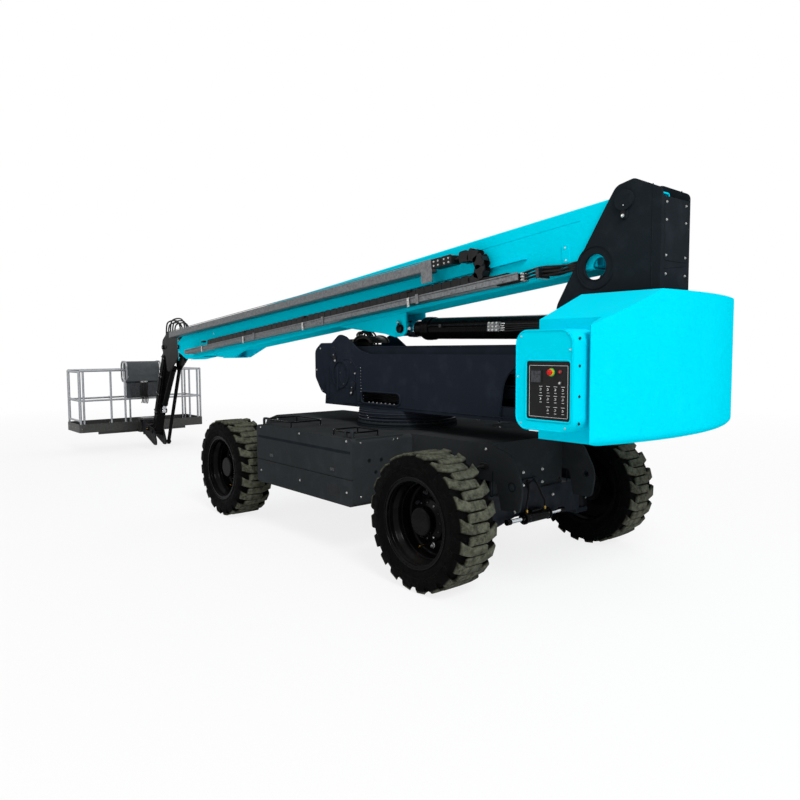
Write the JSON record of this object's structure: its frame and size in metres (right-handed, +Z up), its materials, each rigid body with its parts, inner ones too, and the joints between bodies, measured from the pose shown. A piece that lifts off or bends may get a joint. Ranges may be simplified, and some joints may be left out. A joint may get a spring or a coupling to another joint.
{
  "type": "articulated telescopic boom lift",
  "caption": "Self-propelled boom lift: slewing turntable on a four-wheel steered chassis, parallel riser, telescopic main boom, jib and levelled work platform with gate.",
  "frame": {"origin": "on the ground under the middle of the stowed machine, halfway between the counterweight and the front of the platform and between the wheels", "axes": "+X runs from the counterweight to the platform, +Y is to the left of the machine, +Z is up"},
  "size_m": [11.3062, 2.49, 2.997],
  "materials": {
    "frame_paint": "satin",
    "knuckle_paint": "satin",
    "rim_paint": "gloss",
    "tyre_rubber": "matt",
    "body_paint": "gloss",
    "cylinder_paint": "gloss",
    "rod_chrome": "polished",
    "tray_metal": "satin",
    "chain_plastic": "matt",
    "rail_metal": "satin",
    "console_shell": "satin"
  },
  "bodies": {
    "chassis": {"chassis_frame": "frame_paint", "power_boxes": "frame_paint", "front_axle": "frame_paint", "rear_axle": "frame_paint"},
    "turntable": {"turntable_frame": "frame_paint", "front_cap": "frame_paint", "counterweight": "body_paint", "ground_control_box": "body_paint"},
    "riser": {"riser_boom": "frame_paint"},
    "riser_link": {"riser_link": "frame_paint"},
    "riser_cylinder_barrel": {"riser_cylinder_barrel": "cylinder_paint"},
    "riser_cylinder_rod": {"riser_cylinder_rod": "rod_chrome"},
    "upright": {"upright": "frame_paint"},
    "boom_cylinder_barrel": {"boom_cylinder_barrel": "cylinder_paint"},
    "boom_cylinder_rod": {"boom_cylinder_rod": "rod_chrome"},
    "boom_base": {"boom_base_section": "body_paint", "lower_cable_tray": "tray_metal", "cable_chain": "chain_plastic"},
    "boom_mid": {"boom_mid_section": "body_paint"},
    "boom_fly": {"boom_fly_section": "body_paint", "upper_cable_tray": "tray_metal"},
    "nose": {"boom_nose": "cylinder_paint"},
    "jib": {"jib_arm": "cylinder_paint"},
    "jib_link": {"jib_link": "cylinder_paint"},
    "jib_cylinder_barrel": {"jib_cylinder_barrel": "cylinder_paint"},
    "jib_cylinder_rod": {"jib_cylinder_rod": "rod_chrome"},
    "platform_support": {"platform_support": "cylinder_paint"},
    "platform": {"platform_floor": "frame_paint", "platform_rear_rail": "rail_metal", "platform_front_rail": "rail_metal", "platform_right_rail": "rail_metal", "platform_console": "console_shell"},
    "gate": {"platform_gate": "rail_metal"},
    "front_left_knuckle": {"front_left_knuckle": "knuckle_paint"},
    "front_left_wheel": {"front_left_rim": "rim_paint", "front_left_tyre": "tyre_rubber"},
    "front_right_knuckle": {"front_right_knuckle": "knuckle_paint"},
    "front_right_wheel": {"front_right_rim": "rim_paint", "front_right_tyre": "tyre_rubber"},
    "rear_left_knuckle": {"rear_left_knuckle": "knuckle_paint"},
    "rear_left_wheel": {"rear_left_rim": "rim_paint", "rear_left_tyre": "tyre_rubber"},
    "rear_right_knuckle": {"rear_right_knuckle": "knuckle_paint"},
    "rear_right_wheel": {"rear_right_rim": "rim_paint", "rear_right_tyre": "tyre_rubber"}
  },
  "joints": [
    {"name": "front_left_steer", "type": "hinge", "parent": "chassis", "child": "front_left_knuckle", "pos_m": [-0.928, 0.8, 0.53], "axis": [0, 0, 1], "range_deg": [-35, 35]},
    {"name": "front_left_wheel_roll", "type": "hinge", "parent": "front_left_knuckle", "child": "front_left_wheel", "pos_m": [-0.928, 1.0525, 0.53], "axis": [0, 1, 0], "continuous": true},
    {"name": "front_right_steer", "type": "hinge", "parent": "chassis", "child": "front_right_knuckle", "pos_m": [-0.928, -0.8, 0.53], "axis": [0, 0, 1], "range_deg": [-35, 35]},
    {"name": "front_right_wheel_roll", "type": "hinge", "parent": "front_right_knuckle", "child": "front_right_wheel", "pos_m": [-0.928, -1.0525, 0.53], "axis": [0, 1, 0], "continuous": true},
    {"name": "rear_left_steer", "type": "hinge", "parent": "chassis", "child": "rear_left_knuckle", "pos_m": [-4.178, 0.8, 0.53], "axis": [0, 0, 1], "range_deg": [-35, 35]},
    {"name": "rear_left_wheel_roll", "type": "hinge", "parent": "rear_left_knuckle", "child": "rear_left_wheel", "pos_m": [-4.178, 1.0525, 0.53], "axis": [0, 1, 0], "continuous": true},
    {"name": "rear_right_steer", "type": "hinge", "parent": "chassis", "child": "rear_right_knuckle", "pos_m": [-4.178, -0.8, 0.53], "axis": [0, 0, 1], "range_deg": [-35, 35]},
    {"name": "rear_right_wheel_roll", "type": "hinge", "parent": "rear_right_knuckle", "child": "rear_right_wheel", "pos_m": [-4.178, -1.0525, 0.53], "axis": [0, 1, 0], "continuous": true},
    {"name": "turntable_slew", "type": "hinge", "parent": "chassis", "child": "turntable", "pos_m": [-2.673, 0, 1.18], "axis": [0, 0, 1], "continuous": true},
    {"name": "riser_lift", "type": "hinge", "parent": "turntable", "child": "riser", "pos_m": [-1.883, 0, 1.8], "axis": [0, 1, 0], "range_deg": [0, 70]},
    {"name": "riser_link_turn", "type": "hinge", "parent": "turntable", "child": "riser_link", "pos_m": [-2.223, 0, 1.455], "axis": [0, 1, 0], "range_deg": [0, 70]},
    {"name": "upright_level", "type": "hinge", "parent": "riser", "child": "upright", "pos_m": [-4.833, 0, 1.8], "axis": [0, 1, 0], "range_deg": [-70, 0]},
    {"name": "riser_cylinder_turn", "type": "hinge", "parent": "turntable", "child": "riser_cylinder_barrel", "pos_m": [-2.453, 0, 1.38], "axis": [0, 1, 0], "range_deg": [0, 73.97]},
    {"name": "riser_cylinder_stroke", "type": "slide", "parent": "riser_cylinder_barrel", "child": "riser_cylinder_rod", "axis": [-0.9953, 0, 0.0968], "range_m": [0, 0.79806]},
    {"name": "boom_lift", "type": "hinge", "parent": "upright", "child": "boom_base", "pos_m": [-5.253, 0, 2.86], "axis": [0, -1, 0], "range_deg": [0, 80]},
    {"name": "boom_cylinder_turn", "type": "hinge", "parent": "upright", "child": "boom_cylinder_barrel", "pos_m": [-4.743, 0, 2], "axis": [0, -1, 0], "range_deg": [0, 76.03]},
    {"name": "boom_cylinder_stroke", "type": "slide", "parent": "boom_cylinder_barrel", "child": "boom_cylinder_rod", "axis": [0.9999, 0, 0.0152], "range_m": [0, 1.27346]},
    {"name": "telescope_mid", "type": "slide", "parent": "boom_base", "child": "boom_mid", "axis": [0.9951, 0, -0.0993], "range_m": [0, 4.6]},
    {"name": "telescope_fly", "type": "slide", "parent": "boom_mid", "child": "boom_fly", "axis": [0.9951, 0, -0.0993], "range_m": [0, 4.6]},
    {"name": "nose_level", "type": "hinge", "parent": "boom_fly", "child": "nose", "pos_m": [2.87683, 0, 1.8797], "axis": [0, -1, 0], "range_deg": [-80, 0]},
    {"name": "jib_lift", "type": "hinge", "parent": "nose", "child": "jib", "pos_m": [3.56683, 0, 1.8797], "axis": [0, -1, 0], "range_deg": [0, 110]},
    {"name": "jib_link_turn", "type": "hinge", "parent": "nose", "child": "jib_link", "pos_m": [3.44683, 0, 1.6897], "axis": [0, -1, 0], "range_deg": [0, 110]},
    {"name": "jib_cylinder_turn", "type": "hinge", "parent": "nose", "child": "jib_cylinder_barrel", "pos_m": [3.39283, 0, 1.5297], "axis": [0, -1, 0], "range_deg": [0, 99.32]},
    {"name": "jib_cylinder_stroke", "type": "slide", "parent": "jib_cylinder_barrel", "child": "jib_cylinder_rod", "axis": [0.5685, 0, -0.8227], "range_m": [0, 0.60199]},
    {"name": "platform_level", "type": "hinge", "parent": "jib", "child": "platform_support", "pos_m": [4.22722, 0, 0.38947], "axis": [0, -1, 0], "range_deg": [-110, 0]},
    {"name": "platform_rotate", "type": "hinge", "parent": "platform_support", "child": "platform", "pos_m": [4.65721, 0, 0.42947], "axis": [0, 0, 1], "range_deg": [-90, 90]},
    {"name": "gate_swing", "type": "hinge", "parent": "platform", "child": "gate", "pos_m": [4.93722, 1.105, 0.9], "axis": [0, 0, 1], "range_deg": [-90, 0]}
  ],
  "couplings": [
    {"joint": "front_right_steer", "follows": "front_left_steer", "ratio": 1},
    {"joint": "rear_right_steer", "follows": "rear_left_steer", "ratio": 1},
    {"joint": "riser_link_turn", "follows": "riser_lift", "ratio": 1},
    {"joint": "upright_level", "follows": "riser_lift", "ratio": -1},
    {"joint": "riser_cylinder_turn", "follows": "riser_lift", "ratio": 1.0566},
    {"joint": "riser_cylinder_stroke", "follows": "riser_lift", "m_per_rad": 0.65281},
    {"joint": "boom_cylinder_turn", "follows": "boom_lift", "ratio": 0.95029},
    {"joint": "boom_cylinder_stroke", "follows": "boom_lift", "m_per_rad": 0.91169},
    {"joint": "telescope_fly", "follows": "telescope_mid", "ratio": 1},
    {"joint": "nose_level", "follows": "boom_lift", "ratio": -1},
    {"joint": "jib_link_turn", "follows": "jib_lift", "ratio": 1},
    {"joint": "jib_cylinder_turn", "follows": "jib_lift", "ratio": 0.90285},
    {"joint": "jib_cylinder_stroke", "follows": "jib_lift", "m_per_rad": 0.3133},
    {"joint": "platform_level", "follows": "jib_lift", "ratio": -1}
  ]
}
